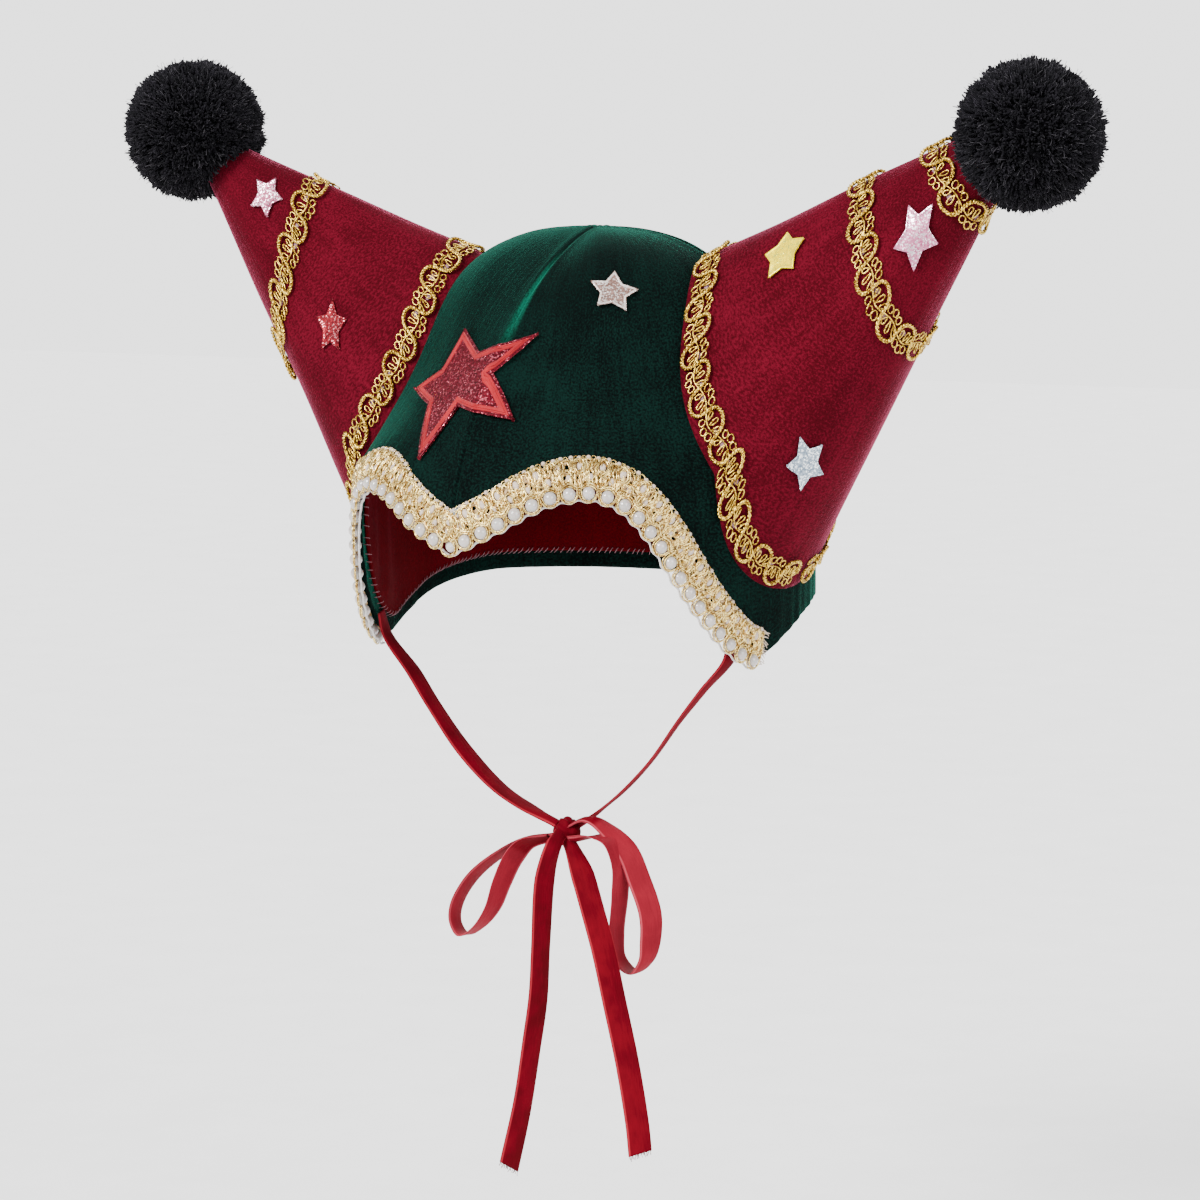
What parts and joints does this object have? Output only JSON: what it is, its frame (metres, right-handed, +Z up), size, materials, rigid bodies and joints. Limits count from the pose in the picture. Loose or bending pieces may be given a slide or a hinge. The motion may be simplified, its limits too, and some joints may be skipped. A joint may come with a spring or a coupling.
{
  "type": "jester hat",
  "caption": "Velvet jester hat with two pompom-tipped horn cones, gold braid, a pearl-edged brow, star patches and a tied ribbon chin strap.",
  "frame": {"origin": "inside of the crown's top, on the lining, where the hat sits on the head", "axes": "+Z up, -Y towards the brow, +X towards the wearer's left"},
  "size_m": [0.4696, 0.2095, 0.4682],
  "materials": {
    "green_velvet": "dark green velvet with a soft pile",
    "burgundy_velvet": "burgundy velvet with a soft pile",
    "lining": "dark burgundy brushed lining",
    "black_yarn": "loose black yarn",
    "gold_gimp": "metallic gold thread gimp",
    "gold_crochet": "gold thread over ivory cord",
    "pearl": "ivory pearl gloss",
    "coral_satin": "coral satin edge with red glitter",
    "red_ribbon": "red velvet ribbon",
    "rose_gold_glitter": "rose gold glitter",
    "yellow_glitter": "yellow glitter",
    "pink_glitter": "pink glitter",
    "silver_glitter": "silver glitter",
    "pale_pink_glitter": "pale pink glitter",
    "red_glitter": "red glitter"
  },
  "bodies": {
    "root": {"crown": "green_velvet", "lining": "lining", "brow_band": "gold_crochet", "pearl_string": "pearl", "star_brow": "coral_satin", "star_rose_gold": "rose_gold_glitter", "cone_left": "burgundy_velvet", "pompom_left": "black_yarn", "braid_base_left": "gold_gimp", "braid_middle_left": "gold_gimp", "braid_tip_left": "gold_gimp", "star_yellow": "yellow_glitter", "star_pink_glitter": "pink_glitter", "star_silver": "silver_glitter", "cone_right": "burgundy_velvet", "pompom_right": "black_yarn", "braid_base_right": "gold_gimp", "braid_middle_right": "gold_gimp", "star_pink": "pale_pink_glitter", "star_red": "red_glitter", "strap_left": "red_ribbon", "bow_loop_left": "red_ribbon", "ribbon_tail_left": "red_ribbon", "strap_right": "red_ribbon", "bow_loop_right": "red_ribbon", "ribbon_tail_right": "red_ribbon", "knot": "red_ribbon"}
  },
  "joints": []
}
